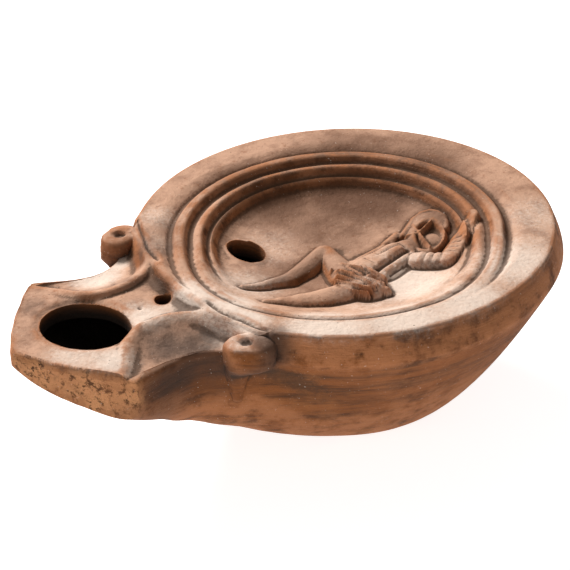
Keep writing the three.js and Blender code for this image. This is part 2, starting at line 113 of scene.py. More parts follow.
# %% Curves and lumps
def smooth_through(rows):
    """A smooth curve through [place, value] rows: cubics that share the slope at each place."""
    places, values = np.array(rows, float).T
    slopes = np.gradient(values, places)

    def at(place):
        place = np.clip(place, places[0], places[-1])
        i = np.clip(np.searchsorted(places, place) - 1, 0, len(places) - 2)
        span = places[i + 1] - places[i]
        t = (place - places[i]) / span
        start = values[i] * (2 * t**3 - 3 * t**2 + 1) + slopes[i] * span * (t**3 - 2 * t**2 + t)
        end = values[i + 1] * (3 * t**2 - 2 * t**3) + slopes[i + 1] * span * (t**3 - t**2)
        return start + end

    return at


def smoothstep(low, high, value):
    """0 below low, 1 above high, and an S-curve between them."""
    t = np.clip((value - low) / (high - low), 0.0, 1.0)
    return t * t * (3.0 - 2.0 * t)


def lumps(points, size, seed, octaves=3):
    """Lattice noise from -1 to 1: random values on a grid of the given size, blended smoothly
    between grid points, and added up at half the size and half the strength."""
    lattice = np.random.default_rng(seed).uniform(-1, 1, (32, 32, 32))
    total = np.zeros(len(points))
    strength = 1.0
    for octave in range(octaves):
        place = points / size * 2**octave + 7.3 * octave
        cell = np.floor(place).astype(int)
        t = place - cell
        t = t * t * (3 - 2 * t)
        for corner in np.ndindex(2, 2, 2):
            weight = np.prod(np.where(corner, t, 1 - t), axis=1)
            total += strength * weight * lattice[tuple(((cell + corner) % 32).T)]
        strength *= 0.5
    return total / 1.75


def from_segment(x, y, start, end):
    """How far points lie from a straight segment, and how far along it, from 0 to 1."""
    ax, ay = start
    dx, dy = end[0] - ax, end[1] - ay
    along = np.clip(((x - ax) * dx + (y - ay) * dy) / (dx * dx + dy * dy), 0, 1)
    return np.hypot(x - ax - along * dx, y - ay - along * dy), along


def beyond_hole(x, y, hole):
    """How far outside a hole's oval edge a place is, in millimetres; less than 0 inside it."""
    centre_x, centre_y, first, second, turn = hole
    turn = np.radians(turn)
    along = (x - centre_x) * np.cos(turn) + (y - centre_y) * np.sin(turn)
    across = (y - centre_y) * np.cos(turn) - (x - centre_x) * np.sin(turn)
    return (np.hypot(along / first, across / second) - 1) * min(first, second)


print("noise check:", lumps(np.array([[1.0, 2.0, 3.0]]), 5.0, 1).round(3))

# %% [markdown]
# The outline. Seen from above at any height the lamp is a circle run together with a nozzle, so
# we write one function that is negative inside that shape and positive outside. The nozzle is a
# rounded trough between a rising keel and the top edge, cut off by the two front faces. A ray from
# inside finds the skin by halving. Lofting or sculpting would also do, but here the same function
# gives the outside and, moved in by the wall, the hollow.

# %% Outline of bowl, nozzle and knobs
nozzle_half_width = smooth_through([
    [-33, 30], [-19, 27], [-13, 25], [-8, 22.8], [-3.5, 20.4], [0, 17.8], [3.5, 16.7], [7.5, 17.1],
    [CORNER_REACH, CORNER_HALF_WIDTH], [NOZZLE_REACH, CORNER_HALF_WIDTH + 1.5],
])
keel_share = smooth_through([
    [-33, 0.01], [-19, 0.01], [-12, 0.108], [-8, 0.18], [-2, 0.261], [4, 0.361], [8, 0.479], [12, 0.574],
    [16, 0.66], [20, 0.735], [24, 0.791], [27, 0.848], [NOZZLE_REACH, 0.917],
])
ridge_half_distance = smooth_through([
    [-8, 26], [-6.5, 22], [-5.1, 16.6], [-3.8, 13], [-2, 9.3], [1, 7.2], [5.4, 6.5], [9.4, 7.3],
    [11.5, 9], [13.2, 11.6], [14.4, 13.4], [CORNER_REACH, 14.6], [NOZZLE_REACH, 16.0],
])


def keel_height(reach):
    """Height of the nozzle's keel: a share of the nozzle's own height."""
    return (HEIGHT - NOZZLE_DROP) * keel_share(reach)


def bowl_radius(z):
    """The belly swells by a power of the height up to the seam, then draws in to the rim."""
    share = np.clip(z, 1e-6, SEAM_HEIGHT) / SEAM_HEIGHT
    below = BASE_RADIUS + (SEAM_RADIUS - BASE_RADIUS) * share**BELLY_POWER
    over = np.clip((z - SEAM_HEIGHT) / (SEAM_DROP - EDGE_ROUNDING), 0, 1)
    return below - (SEAM_RADIUS - RIM_RADIUS) * over**1.6


def flank_drop(reach):
    """How far the nozzle's side edge lies below the shoulder: less at the front corner."""
    return FLANK_DROP + (CORNER_DROP - FLANK_DROP) * np.clip(reach / CORNER_REACH, 0, 1) ** 3


def section_power(reach):
    """The nozzle's section is rounded at its root and boxier towards the front corners."""
    return SECTION_POWER + (SECTION_POWER_FRONT - SECTION_POWER) * smoothstep(0.0, CORNER_REACH, reach)


def front_reach(half_distance):
    """How far the front faces reach, from the tip back to the corners: nearly straight."""
    share = half_distance / CORNER_HALF_WIDTH
    inward = np.minimum(share, 1)
    return NOZZLE_REACH + (CORNER_REACH - NOZZLE_REACH) * share + FRONT_BULGE * 4 * inward * (1 - inward)


def outside_nozzle(x, y, z, inset):
    """Distance outside the nozzle: the farthest out of its trough, its front and its root. The
    front has some clay to spare, which is cut off later."""
    reach = -y - RIM_RADIUS
    half = nozzle_half_width(reach) - inset
    edge = HEIGHT - flank_drop(reach)
    depth = np.maximum(edge - keel_height(reach) - inset, 1.0)
    power = section_power(reach)
    trough = ((np.abs(x) / half) ** power + (np.maximum(edge - z, 0) / depth) ** power) ** (1 / power)
    spare = FRONT_SPARE if inset == 0 else 0
    front = (reach - front_reach(np.abs(x)) - spare) * FRONT_LEAN + inset
    return np.maximum.reduce([(trough - 1) * np.minimum(half, depth), front, y - NOZZLE_ROOT_Y])


def run_together(first, second, radius):
    """The smaller of two distances, with a fillet of the given radius where they meet."""
    near = np.maximum(radius - np.abs(first - second), 0) / radius
    return np.minimum(first, second) - near * near * radius / 4


def outside_lamp(x, y, z, inset, hollow):
    """Distance outside the whole lamp; for the hollow, everything is moved in by the wall."""
    if hollow:
        slope = (bowl_radius(z) - bowl_radius(z - 0.1)) / 0.1
        bowl = np.hypot(x, y) - bowl_radius(z) + WALL * np.hypot(1, slope)
        return run_together(bowl, outside_nozzle(x, y, z, WALL), BLEND_RADIUS) + inset
    bowl = np.hypot(x, y) - bowl_radius(z)
    return run_together(bowl, outside_nozzle(x, y, z, 0.0), BLEND_RADIUS) + inset


# How far in front of the bowl's centre the rays start, on the base and higher up
HEART_AT_BASE, HEART = 10, 30


def skin_point(direction_x, direction_y, z, inset, hollow):
    """Where rays from the heart of the lamp leave it, found by halving the distance 34 times."""
    heart = -(HEART_AT_BASE + (HEART - HEART_AT_BASE) * np.clip(z / 7, 0, 1))
    near = np.zeros(np.broadcast(direction_x, z).shape)
    far = np.full(near.shape, 130.0)
    for _ in range(34):
        middle = (near + far) / 2
        out = outside_lamp(direction_x * middle, heart + direction_y * middle, z, inset, hollow) > 0
        far = np.where(out, middle, far)
        near = np.where(out, near, middle)
    return direction_x * near, heart + direction_y * near


print("tip at", np.round(skin_point(0.0, -1.0, np.array(HEIGHT - 6), 0.0, False), 2))

# %% [markdown]
# The top is a height for every place: the shoulder, three rings and grooves turned about their own
# centre, the dished floor, the step down to the nozzle, and the volutes. Each is a short formula,
# so an edge can be made softer or a ring deeper by one number.

# %% Height of the top
RINGS_WORN_TOWARDS = np.array([0.84, -0.54])
RINGS = np.array([
    # where the rings are crisp: radius, drop; on the worn side: radius, drop
    [0, FLOOR_DROP, 0, FLOOR_DROP], [10, FLOOR_DROP, 10, FLOOR_DROP], [15, 5.05, 14, 5.15],
    [18.5, 4.7, 17, 5], [20.8, 4.2, 19.5, 4.65], [22, 3.4, 21.5, 4.1], [22.5, 2.7, 23, 3.5],
    [22.9, 2.3, 24.2, 2.9], [23.5, 2.55, 25.2, 2.35], [24, 1.8, 26.4, 1.75], [24.6, 0.95, 27.6, 1.2],
    [25.2, 0.85, 28.4, 0.85], [25.8, 1.1, 29.4, 0.6], [26.3, 1.5, 30.1, 1], [26.8, 1.45, 30.4, 1],
    [27.3, 0.9, 30.8, 0.4], [28, 0.15, 31.4, 0.2], [28.6, 0.02, 32, 0.15], [29.3, 0.2, 32.5, 0.12],
    [29.9, 1, 33, 0.10], [30.4, 1.3, 33.4, 0.08], [31, 0.9, 33.8, 0.06], [32, 0.42, 34.2, 0.04],
    [33.6, 0.12, 34.6, 0.02], [35, 0, 35, 0],
])
RING_TABLE = np.stack([
    smooth_through(RINGS[:, :2] + (RINGS[:, 2:] - RINGS[:, :2]) * worn)(np.linspace(0, 36, 721))
    for worn in np.linspace(0, 1, 21)
])


def discus_drop(radius, worn):
    """Drop below the shoulder, looked up between the crisp and the worn profile of the rings."""
    i, j = np.clip(radius * 20, 0, 719.99), np.clip(worn * 20, 0, 19.99)
    low, step_i, step_j = i.astype(int), i - np.floor(i), j - np.floor(j)
    row = j.astype(int)
    first = RING_TABLE[row, low] * (1 - step_i) + RING_TABLE[row, low + 1] * step_i
    second = RING_TABLE[row + 1, low] * (1 - step_i) + RING_TABLE[row + 1, low + 1] * step_i
    return first * (1 - step_j) + second * step_j


CURL = [(13.0, -34.2), (16.4, -33.0), (19.8, -31.8), (22.6, -31.4), (24.8, -32.6)]


def ridge_distance(x, y):
    """Distance to the raised edge of the nearer volute, drawn as a chain of short segments from
    beyond the front corner to the curl behind the knob."""
    reaches = np.linspace(CORNER_REACH + 5, -3.8, 60)
    line = list(zip(ridge_half_distance(reaches), -(RIM_RADIUS + reaches))) + CURL[1:]
    nearest = np.full(x.shape, 99.0)
    for start, end in zip(line, line[1:]):
        nearest = np.minimum(nearest, from_segment(np.abs(x), y, start, end)[0])
    return nearest


def nozzle_drop(x, y):
    """Drop of the nozzle's top: a flat channel, a step up to each volute's edge, then its flank."""
    reach = -y - RIM_RADIUS
    ridge = ridge_half_distance(reach)
    half = np.maximum(nozzle_half_width(reach), ridge + 0.5)
    gap = ridge_distance(x, y)
    across = np.clip((np.abs(x) - ridge) / (half - ridge), 0, 1)
    rise = RIDGE_RISE * np.where(x > 0, 0.75, 1.0) * smoothstep(CORNER_REACH + 0.5, CORNER_REACH - 5.0, reach)
    crest = NOZZLE_DROP - rise * (1 + 0.5 * smoothstep(-1.0, -5.0, reach))
    sag = 0.7 * 4 * across * (1 - across)
    falls = smoothstep(-6.0, -3.4, reach)
    flank = crest + falls * ((flank_drop(reach) - crest) * across**0.9 + sag * smoothstep(0.3, 2.2, gap))
    inner_side = NOZZLE_DROP - (NOZZLE_DROP - crest) * (1 - smoothstep(0.4, 1.5, gap))
    return np.where(np.abs(x) > ridge, flank, inner_side)


def plain_top(x, y):
    """Height of the top without the figure and the small damage."""
    from_rings = np.hypot(x - RINGS_CENTRE[0], y - RINGS_CENTRE[1])
    from_centre = np.hypot(x, y)
    towards = ((x - RINGS_CENTRE[0]) * RINGS_WORN_TOWARDS[0] + (y - RINGS_CENTRE[1]) * RINGS_WORN_TOWARDS[1])
    drop = discus_drop(from_rings, smoothstep(0.05, 0.9, towards / np.maximum(from_rings, 1)))
    side = np.abs(x)
    inner = np.interp(side, [0, 9, 13, 17, 22, 25], [34.6, 34.8, 35.7, 36.1, 37.4, 38.8])
    outer = np.interp(side, [0, 9, 13, 17, 22, 25], [37.2, 37.2, 36.9, 37.0, 38.3, 39.6])
    step = np.clip((from_centre - inner) / (outer - inner), 0, 1) * smoothstep(-20.0, -26.0, y)
    step = step * step * (3 - 2 * step)
    drop = drop + step * (nozzle_drop(x, y) - drop)
    crease = np.exp(-(((from_centre - inner + 0.1) / 0.42) ** 2)) * smoothstep(25.5, 20.5, side) * (y < 0)
    drop = drop + 0.9 * crease * smoothstep(7.0, 10.0, side)
    return HEIGHT - drop


print("heights across the rings:", plain_top(np.zeros(5), np.array([22.0, 24, 26.9, 32, 36])).round(2))

# %% [markdown]
# The relief shows a fallen fighter, a stock figure of such lamps: one knee drawn up, a folded
# loincloth, one arm in a padded sleeve and the head in a closed helmet. Each limb is a tapered
# capsule with an oval section, pressed onto the floor, and the figure is the highest of them at
# each place. The small things, such as folds, straps and bars, are thin capsules or ripples.

# %% Relief figure
# Each chain is a row of joints: x, y, half width, height
BODY = [
    [(3, -23.3, 0.8, 0.9), (3.6, -18.8, 1.4, 1.5)],
    [(3.5, -18.4, 1.4, 1.5), (4.2, -14.3, 2.1, 2.1), (3, -10.5, 2.5, 2.3), (0.2, -4.8, 2.4, 2.6)],
    [(0.4, -4.4, 2.3, 2.6), (9.4, -5.9, 3.5, 2.6)],
    [(9.8, -23, 0.8, 0.8), (10.5, -20, 1.5, 1.4), (11.8, -16.9, 2.5, 2), (13.2, -13, 3.1, 2.4),
     (14, -6.6, 3.3, 2.7)],
    [(9.6, -3.8, 4.9, 2.5), (9.4, 0.4, 5.1, 2.7), (8.2, 5.2, 4.8, 3)],
    [(8.2, 5.2, 4.6, 2.9), (7.6, 8.4, 3.2, 2.5)],
    [(4.4, 6.2, 1.5, 1.8), (2.6, 9.6, 1.2, 1.5)],
]
SLEEVE = [
    [(12.3, 7.4, 2.3, 2.8), (16.3, 10.9, 2.1, 2.7), (12.6, 16.8, 2.2, 2.5)],
    [(12.6, 16.8, 2, 2.3), (10.3, 21, 1.6, 1.7)],
]
SLEEVE_BAND = 1.45
# The head is one limb from joint to joint; the opening for the face is an oval, as the holes are
HEAD = (7.2, 12.4, 3.8, 3.2, 3.4, 16.2, 3.8, 2.7)
VISOR = (7.6, 13.1, 4.5, 2.6, -38)
OPENS_TOWARDS = (0.545, 0.839)
BARS_MEET = (6.2, 12.0)
BAR_ENDS = [(3.9, 16.9), (11.6, 10.7), (3.0, 13.0), (5.6, 9.8)]
CREST = [
    (3.8, 10.2), (2.2, 12.6), (0.6, 14.9), (0.1, 16.9), (0.7, 18.4), (2.2, 18.9), (3.9, 18.7),
    (5.8, 18.2), (7.2, 17.2),
]
FIGURE_SCALE = 0.74
CLOTH_FOLDS = [
    (9.4, -2.6, 16, -2), (8.8, -3.9, 16.8, -2.9), (8.4, -5.2, 17.2, -3.8), (8.8, -6.6, 17.4, -4.6),
    (9.8, -8, 17.4, -5.4), (11.2, -9.2, 17.6, -6.2), (12.8, -10.2, 18, -7), (7.4, -7.6, 11.6, -5.6),
    (7, -5.4, 10.8, -3.4),
]
CLOTH_SLITS = [
    (7.6, -7.8, 8.6, -5.8), (11.2, -4.2, 13.5, -2.7), (12.8, -4.3, 16.9, -2.9),
    (12.6, -7.8, 16.4, -5.3), (13.6, -9.5, 18.2, -6.6),
]
TORSO_FURROWS = [
    # start x, y, end x, y, width, depth
    (7.9, 1.9, 7.6, 4.7, 0.35, 0.5), (7.6, 4.7, 7.4, 6.8, 0.35, 0.5), (11.7, -0.8, 10.6, 3.1, 0.6, 1.2),
    (10.6, 3.1, 9.5, 7.1, 0.6, 1.2), (13.6, 0.6, 12.8, 3.3, 0.4, 0.6), (12.8, 3.3, 12.2, 5.8, 0.4, 0.6),
    (5.6, -1.6, 5.8, 1.8, 0.5, 0.6), (5.8, 1.8, 5, 6.4, 0.5, 0.8), (7.4, -0.6, 12.6, -0.2, 0.4, 0.35),
    (7, 2.2, 12, 2.6, 0.35, 0.3), (6.4, 7.4, 11.8, 7, 0.5, 0.5),
]


def limbs_of(chains):
    """Each pair of neighbouring joints is one limb."""
    return [(*start, *end) for chain in chains for start, end in zip(chain, chain[1:])]


def capsule(x, y, limb, power=0.5):
    """An oval ridge between two ends: its height falls off across the limb as (1 - a*a)^power,
    where a is the distance from the middle line in widths of the limb. Also gives how far a
    place is beyond the limb's edge."""
    x0, y0, r0, h0, x1, y1, r1, h1 = limb
    gap, along = from_segment(x, y, (x0, y0), (x1, y1))
    radius = r0 + (r1 - r0) * along
    height = (h0 + (h1 - h0) * along) * np.clip(1 - (gap / radius) ** 2, 0, 1) ** power
    return height, gap - radius


def soften(first, second, radius):
    """The larger of two heights, with the angle between them filled."""
    near = np.maximum(radius - np.abs(first - second), 0) / radius
    return np.maximum(first, second) + near * near * radius / 4


def furrows(x, y, rows):
    """Depth of soft grooves along short lines; each falls off as a bell curve."""
    depth = np.zeros(x.shape)
    for x0, y0, x1, y1, width, strength in rows:
        gap, _ = from_segment(x, y, (x0, y0), (x1, y1))
        depth = np.maximum(depth, strength * np.exp(-((gap / width) ** 2)))
    return depth


def sleeve_height(x, y):
    """The padded sleeve: capsules with rounded bands across them, and its edge."""
    height, edge = np.zeros(x.shape), np.full(x.shape, 99.0)
    for limb in limbs_of(SLEEVE):
        ridge, beyond = capsule(x, y, limb)
        _, along = from_segment(x, y, limb[:2], limb[4:6])
        length = np.hypot(limb[4] - limb[0], limb[5] - limb[1])
        bands = 1 - 0.13 * (0.5 + 0.5 * np.cos(2 * np.pi * along * length / SLEEVE_BAND)) ** 2
        height, edge = np.maximum(height, ridge * bands), np.minimum(edge, beyond)
    return height, edge


def loincloth_height(x, y):
    """Cloth bunched at the hip: thin folds that draw together to the right over a low swelling,
    with deep slits between them, and a knot."""
    height, edge = capsule(x, y, (9.4, -5.4, 3.4, 2.3, 15.6, -5.2, 3.6, 2.7), 0.7)
    for fold in CLOTH_FOLDS:
        ridge, beyond = capsule(x, y, (*fold[:2], 0.62, 3.0, *fold[2:], 0.5, 3.5), 0.8)
        height, edge = soften(height, ridge, 0.2), np.minimum(edge, beyond)
    knot, beyond = capsule(x, y, (17.2, -4.2, 1.5, 2.9, 18.2, -3.4, 1.1, 2.3))
    height = np.maximum(height, knot)
    height = np.maximum(height - furrows(x, y, [(*slit, 0.33, 1.2) for slit in CLOTH_SLITS]), 0)
    return height, np.minimum(edge, beyond)


def head_height(x, y):
    """A helmet: a dome, a crest that sweeps round it, and bars over a sunk face opening with a
    plain face behind them."""
    dome, edge = capsule(x, y, HEAD)
    opening = beyond_hole(x, y, VISOR)
    past_bars = (x - BARS_MEET[0]) * OPENS_TOWARDS[0] + (y - BARS_MEET[1]) * OPENS_TOWARDS[1]
    open_side = smoothstep(-1.2, 0.4, past_bars)
    dome = np.where(opening < 0.4, np.maximum(dome, 1.6), dome)
    face = 0.8 + 0.9 * np.clip(1 - np.hypot((x - 8.0) / 2.4, (y - 13.4) / 2.0) ** 2, 0, 1)
    height = dome + (np.minimum(dome, face) - dome) * smoothstep(0.3, -0.7, opening) * open_side
    height = np.maximum(height, (1.3 + 0.8 * open_side) * np.exp(-((opening - 0.35) / 0.6) ** 2))
    for end in BAR_ENDS:
        height = soften(height, capsule(x, y, (*BARS_MEET, 0.7, 2.9, *end, 0.6, 2.7), 0.8)[0], 0.2)
    for start, end in zip(CREST, CREST[1:]):
        ridge, beyond = capsule(x, y, (*start, 1.1, 1.9, *end, 1.1, 1.9), 0.8)
        height, edge = np.maximum(height, ridge), np.minimum(edge, beyond)
    height = height - 0.5 * np.exp(-(np.hypot(x - 4.8, y - 20.9) / 0.35) ** 2)
    return height, np.minimum(edge, opening - 0.8)


def figure_height(x, y):
    """The whole figure above the discus floor: limbs, cloth and helmet run softly together, with a
    narrow groove in the floor along their edge, as a worn mould leaves it."""
    height, edge = np.zeros(x.shape), np.full(x.shape, 99.0)
    for limb in limbs_of(BODY):
        ridge, beyond = capsule(x, y, limb, 0.85)
        height, edge = soften(height, ridge, 0.3), np.minimum(edge, beyond)
    height = np.maximum(height - np.minimum(furrows(x, y, TORSO_FURROWS), height * 0.75), 0)
    for part, beyond in (sleeve_height(x, y), loincloth_height(x, y), head_height(x, y)):
        height, edge = soften(height, part, 0.25), np.minimum(edge, beyond)
    return np.maximum(height - 0.02, 0) * FIGURE_SCALE - 0.22 * np.exp(-((edge - 0.1) / 0.5) ** 2)


print("figure heights along the trunk:", figure_height(np.full(5, 11.0), np.linspace(-8, 14, 5)).round(2))

# %% [markdown]
# Wear belongs in the shape as well as in the colour. The clay is hand-finished, so nothing is quite
# flat; the front of the nozzle is broken rough, the rim is nicked, and scratches run round the
# shoulder. Large damage is made here, and grain too fine for the mesh comes later as bump.

# %% Small damage and handwork
LUMPS = [(9.0, 11, 0.13), (2.0, 12, 0.05)]
NOZZLE_LUMPS = [(3.4, 13, 0.12), (0.9, 14, 0.04)]
DENTS = [(-0.4, -36.6, 1.5, 0.7), (1.0, -42.6, 0.4, 0.5)]


def lip_of(x, y, hole, width):
    """1 at a hole's edge, falling to 0 beyond the given width."""
    return np.exp(-((np.maximum(beyond_hole(x, y, hole), 0) / width) ** 2))


def roughness(points, rows):
    """Lumps of several sizes added up; each row is size, seed and rise."""
    return sum(rise * lumps(points, size, seed) for size, seed, rise in rows)


def top_height(x, y):
    """The full height of the top: plain form, figure, lips of the holes, dents and lumps."""
    points = np.stack([x, y, np.zeros(x.shape)], 1)
    height = plain_top(x, y) + figure_height(x, y)
    height += roughness(points, LUMPS)
    height += 0.3 * lip_of(x, y, FILLING_HOLE, 0.5) * (x > FILLING_HOLE[0] - 3)
    height -= 0.45 * lip_of(x, y, WICK_HOLE, 0.6)
    for dent_x, dent_y, radius, depth in DENTS:
        height -= depth * np.exp(-(np.hypot(x - dent_x, y - dent_y) / radius) ** 2)
    height += smoothstep(-38.0, -41.0, y) * roughness(points, NOZZLE_LUMPS)
    return np.minimum(height, HEIGHT)


def ceiling_height(x, y):
    """Underside of the top inside: the dished floor moved down by the wall, without rings."""
    from_rings = np.hypot(x - RINGS_CENTRE[0], y - RINGS_CENTRE[1])
    drop = FLOOR_DROP * (1 - smoothstep(17.0, 30.0, from_rings))
    beside_nozzle = smoothstep(-30.0, -37.0, y)
    return HEIGHT - WALL - np.maximum(drop, NOZZLE_DROP * beside_nozzle)


print("lowest and highest of the top:", top_height(np.array([0.0, 8.0]), np.array([0.0, 5.0])).round(2))

# %% [markdown]
# Now the skin as one net of quads. Columns run round the outline, closer together at the nozzle.
# Rows climb the side, go over the edge and run in to the discus, which is a polar net about the
# rings' centre, so the rings follow its rows. Where a dense row meets a sparse one a strip of
# triangles joins them. The hollow is the same net, coarser, with the wall taken off.

# %% Net of the skin
def join_rows(first, second):
    """Triangles between two rows of vertices with different counts: walk along both and always
    take the step that comes sooner."""
    steps_a, steps_b = len(first) - 1, len(second) - 1
    when = np.concatenate([(np.arange(steps_a) + 0.5) / steps_a, (np.arange(steps_b) + 0.5) / steps_b])
    is_a = np.concatenate([np.ones(steps_a, bool), np.zeros(steps_b, bool)])[np.argsort(when, kind="stable")]
    at_a = np.cumsum(is_a) - is_a
    at_b = np.cumsum(~is_a) - ~is_a
    third = np.where(is_a, first[np.minimum(at_a + 1, steps_a)], second[np.minimum(at_b + 1, steps_b)])
    return np.stack([first[at_a], third, second[at_b]], 1)


def quads_of(grid):
    """Quads between neighbours of a two-way table of vertices."""
    return np.stack([grid[:-1, :-1], grid[:-1, 1:], grid[1:, 1:], grid[1:, :-1]], -1).reshape(-1, 4)


def closed(grid):
    """The table with its first column again at the end."""
    return np.concatenate([grid, grid[:, :1]], 1)


def fan(ring, middle):
    """Triangles from a closed ring to one vertex."""
    return np.stack([ring[:-1], ring[1:], np.full(len(ring) - 1, middle)], 1)


NOZZLE_ENDS = (29.5, -24.0)


def outline_angles(nozzle_steps, round_steps):
    """Angles of the columns from the heart, tip first: even steps along the nozzle's outline, then
    even steps round the bowl."""
    last = np.arctan2(NOZZLE_ENDS[0], -(NOZZLE_ENDS[1] + HEART))
    angles = np.linspace(0, last, 3000)
    px, py = skin_point(np.sin(angles), -np.cos(angles), np.full(3000, HEIGHT - 6.0), 0.0, False)
    length = np.concatenate([[0], np.cumsum(np.hypot(np.diff(px), np.diff(py)))])
    front = np.interp(np.linspace(0, length[-1], nozzle_steps + 1), length, angles)
    turn = np.linspace(np.arctan2(NOZZLE_ENDS[0], -NOZZLE_ENDS[1]), np.pi, round_steps + 1)[1:]
    back = np.arctan2(RIM_RADIUS * np.sin(turn), RIM_RADIUS * np.cos(turn) - HEART)
    return np.concatenate([front, back])


def build_skin(nozzle_steps, round_steps, side_levels, strip_rows, block_rows, disc_rows, height_of, hollow):
    """Vertices and faces of the closed skin."""
    angles = outline_angles(nozzle_steps, round_steps)
    around = np.concatenate([angles, -angles[-2:0:-1]])
    dx, dy = np.sin(around), -np.cos(around)
    count = len(dx)
    floor = WALL if hollow else 0.0
    edge_x, edge_y = skin_point(dx, dy, np.full(count, HEIGHT - 3.0), 0.3, hollow)
    edge = height_of(edge_x, edge_y)

    blocks, faces = [], []

    def add(points):
        """Takes in a table of points and gives the table of their numbers."""
        points = np.asarray(points, float)
        first = sum(map(len, blocks))
        blocks.append(points.reshape(-1, 3))
        return first + np.arange(len(blocks[-1])).reshape(points.shape[:-1])

    # Side rows: shares of the edge height, then the rounding over the edge
    rounding = 0.0 if hollow else EDGE_ROUNDING
    rows = [floor + (edge - rounding - floor) * share for share in side_levels]
    insets = [0.0] * len(rows)
    for turn in ([] if hollow else [0.3, 0.55, 0.75, 0.9, 1.0]):
        angle = turn * np.pi / 2
        rows.append(edge - rounding + rounding * np.sin(angle))
        insets.append(rounding * (1 - np.cos(angle)))
    sides = []
    for level, inset in zip(rows, insets):
        px, py = skin_point(dx, dy, level, inset, hollow)
        sides.append(np.stack([px, py, level], 1))
    side = add(np.stack(sides))
    loop = closed(side)
    faces.append(quads_of(loop))

    # Underside: rings in to the middle, with a shallow foot ring on the outside
    ring = loop[0]
    base = sides[0]
    quarter = max(count // 4, 12)
    for share, steps in ((0.94, count), (0.86, quarter), (0.7, quarter), (0.35, quarter // 2)):
        pick = np.linspace(0, count, steps, endpoint=False).astype(int)
        points = base[pick] * [share, share, 1]
        points[:, 2] += 0.0 if hollow else FOOT_HOLLOW * smoothstep(0.93, 0.84, share)
        inner = closed(add(points)[None])[0]
        faces.append(join_rows(ring, inner))
        ring = inner
    middle = add([[0.0, 0.0, floor + (0.0 if hollow else FOOT_HOLLOW)]])
    faces.append(fan(ring, middle[0]))

    # Discus: a polar net about the rings' centre
    top = sides[-1]
    turn = np.unwrap(np.arctan2(top[:, 0] - RINGS_CENTRE[0], -(top[:, 1] - RINGS_CENTRE[1])))
    n = nozzle_steps
    columns = np.arange(-n, n + 1)
    turn[-n:] -= 2 * np.pi
    share = columns / n
    turn[columns] = np.where(share < 0, -share * turn[-n], share * turn[n])

    def ring_points(radius, angles):
        x = RINGS_CENTRE[0] + radius * np.sin(angles)
        y = RINGS_CENTRE[1] - radius * np.cos(angles)
        return np.stack([x, y, height_of(x, y)], 1)

    outer_rows = [ring_points(radius, turn) for radius in disc_rows[0]]
    disc = add(np.stack(outer_rows))
    faces.append(quads_of(closed(disc)))
    ring = closed(disc)[-1]
    for halvings, radii in enumerate(disc_rows[1:], 1):
        rows = closed(add(np.stack([ring_points(radius, turn[::2**halvings]) for radius in radii])))
        faces += [join_rows(ring, rows[0]), quads_of(rows)]
        ring = rows[-1]
    centre = height_of(RINGS_CENTRE[:1], RINGS_CENTRE[1:])
    middle = add([[*RINGS_CENTRE, centre[0]]])
    faces.append(fan(ring, middle[0]))

    # From the discus out to the edge: a long block over the nozzle and a narrow strip elsewhere
    def between(columns, steps):
        share = (np.arange(1, steps + 1) / (steps + 1))[:, None, None]
        flat = outer_rows[0][columns][None] * (1 - share) + top[columns][None] * share
        flat[..., 2] = height_of(flat[..., 0].ravel(), flat[..., 1].ravel()).reshape(flat.shape[:2])
        inner = add(flat)
        return np.concatenate([disc[0][columns][None], inner, side[-1][columns][None]], 0)

    block = between(columns, block_rows)
    strip = between(np.arange(n + 1, count - n), strip_rows)
    faces += [quads_of(block), quads_of(strip)]
    faces += [join_rows(block[:, -1], strip[:, 0]), join_rows(strip[:, -1], block[:, 0])]
    return np.concatenate(blocks), faces


def mesh_object(name, points_mm, face_groups):
    """A closed mesh object from points in millimetres, with its faces turned outwards."""
    mesh = bpy.data.meshes.new(name)
    faces = [face for group in face_groups for face in group.tolist()]
    mesh.from_pydata((points_mm * MM).tolist(), [], faces)
    mesh.validate()
    thing = bpy.data.objects.new(name, mesh)
    scene.collection.objects.link(thing)
    bpy.context.view_layer.objects.active = thing
    bpy.ops.object.mode_set(mode="EDIT")
    bpy.ops.mesh.select_all(action="SELECT")
    bpy.ops.mesh.normals_make_consistent(inside=False)
    bpy.ops.object.mode_set(mode="OBJECT")
    return thing


SIDE_LEVELS = np.concatenate([
    [0, 0.006, 0.018, 0.04, 0.07, 0.105], np.linspace(0.145, 0.82, 16), [0.845, 0.862, 0.878, 0.9],
    np.linspace(0.93, 1.0, 3),
])
DISC_ROWS = [
    np.concatenate([np.linspace(DISCUS_RADIUS, 22.6, 37), np.linspace(22.3, 11.4, 40)]),
    np.linspace(11.2, 4.6, 24), np.linspace(4.3, 0.6, 9),
]
points, groups = build_skin(118, 162, SIDE_LEVELS, 7, 60, DISC_ROWS, top_height, False)
lamp = mesh_object("lamp_clay", points, groups)
print("outer skin:", len(points), "points,", sum(len(g) for g in groups), "faces")

hollow_rows = [np.linspace(DISCUS_RADIUS - 4, 16, 7), np.linspace(12, 3, 3)]
points, groups = build_skin(24, 24, np.linspace(0, 1, 10), 2, 8, hollow_rows, ceiling_height, True)
hollow = mesh_object("hollow", points, groups)
print("hollow:", len(points), "points")

# %% [markdown]
# The holes were cut through the leather-hard clay with a tube or a knife, so their walls are a
# little uneven. We cut the hollow out of the lamp first and then each hole, with Booleans.

# %% Cut the hollow and the three holes
def tube(name, rings, ends):
    """A closed mesh through rings of points, with a fan to one point at either end."""
    loop = closed(np.arange(rings[..., 0].size).reshape(rings.shape[:2]))
    first_end = rings[..., 0].size
    faces = [quads_of(loop), fan(loop[0], first_end), fan(loop[-1], first_end + 1)]
    return mesh_object(name, np.concatenate([rings.reshape(-1, 3), ends]), faces)


